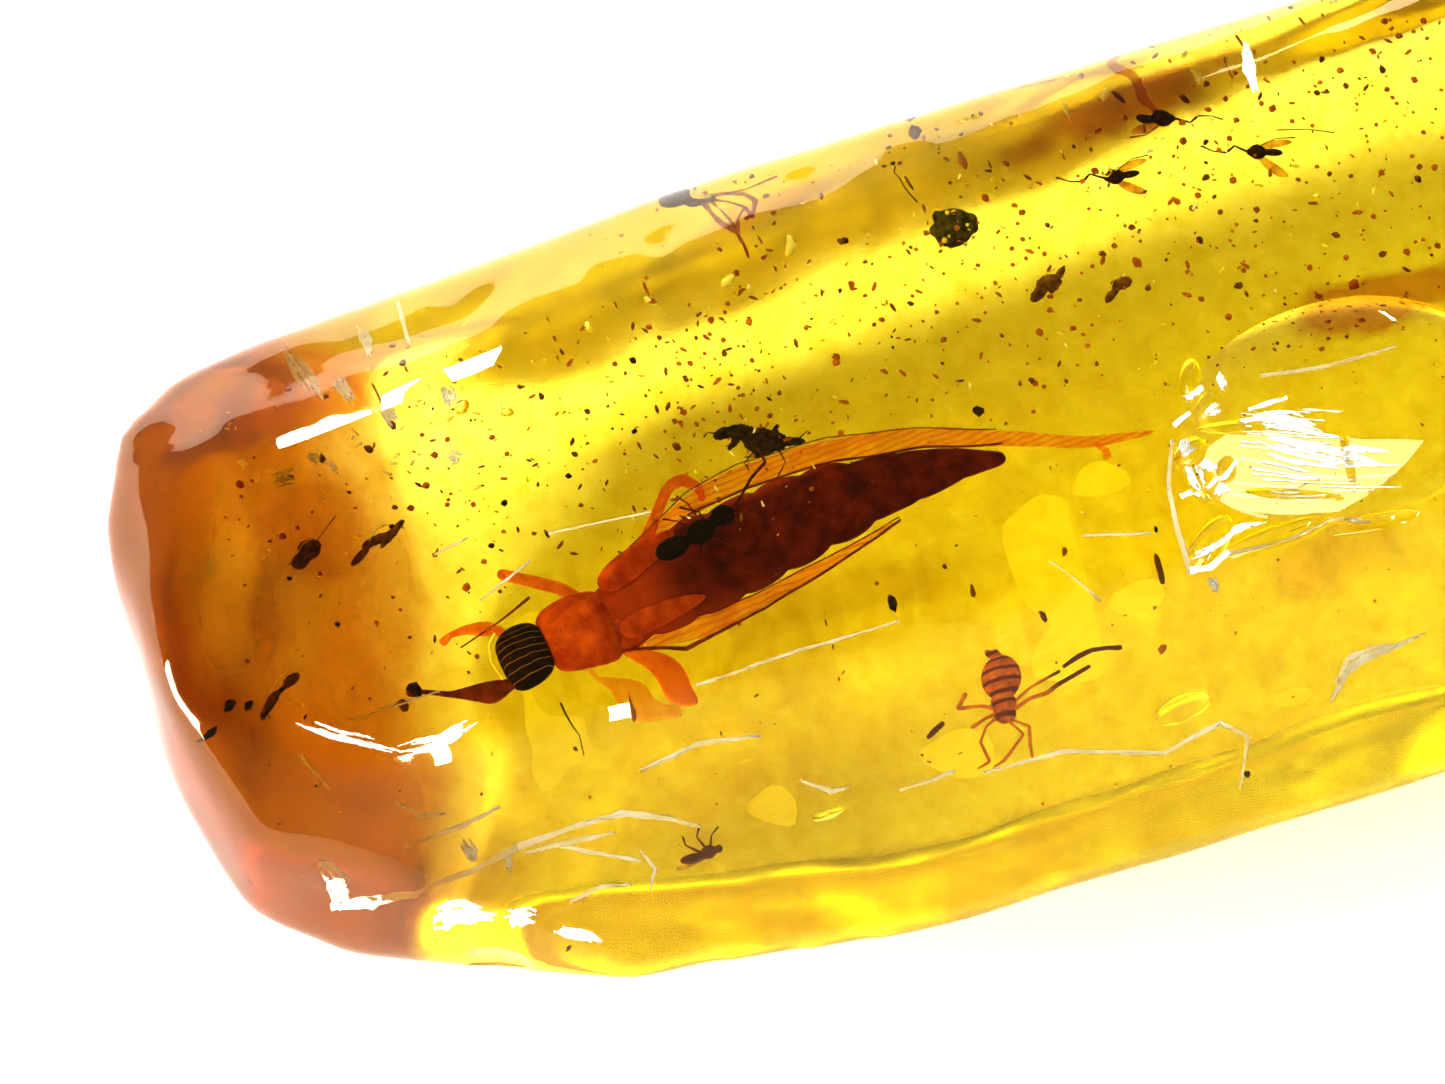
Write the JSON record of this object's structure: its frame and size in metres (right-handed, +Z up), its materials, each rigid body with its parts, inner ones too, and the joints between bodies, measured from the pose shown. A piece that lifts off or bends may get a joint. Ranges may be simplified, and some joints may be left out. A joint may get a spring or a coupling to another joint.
{
  "type": "insect inclusions in copal",
  "caption": "Polished see-through piece of golden copal resin, lying on its flat base, with insects, a spider and crumbs of wood sealed inside and a shell-shaped chip in its top face",
  "frame": {"origin": "middle of the flat base that the piece rests on", "axes": "+X along the piece from its narrow end to its broad end, +Y to its back edge, +Z up through its thickness"},
  "size_m": [0.0599, 0.0256, 0.0135],
  "materials": {
    "copal": "polished",
    "beetle_chitin": "satin",
    "black_chitin": "satin",
    "amber_chitin": "satin",
    "charred_wood": "matte"
  },
  "bodies": {
    "root": {"copal_lower": "copal", "copal_upper": "copal", "long_beetle": "beetle_chitin", "black_ant": "black_chitin", "small_spider": "amber_chitin", "midge": "black_chitin", "long_legged_fly": "amber_chitin", "gnat_1": "black_chitin", "gnat_2": "black_chitin", "gnat_3": "black_chitin", "bark_fleck": "charred_wood", "seed_pellet": "charred_wood", "wood_crumb_1": "charred_wood", "wood_crumb_2": "charred_wood", "dark_spindle": "charred_wood", "wood_smear_1": "charred_wood", "wood_smear_2": "charred_wood"}
  },
  "joints": []
}
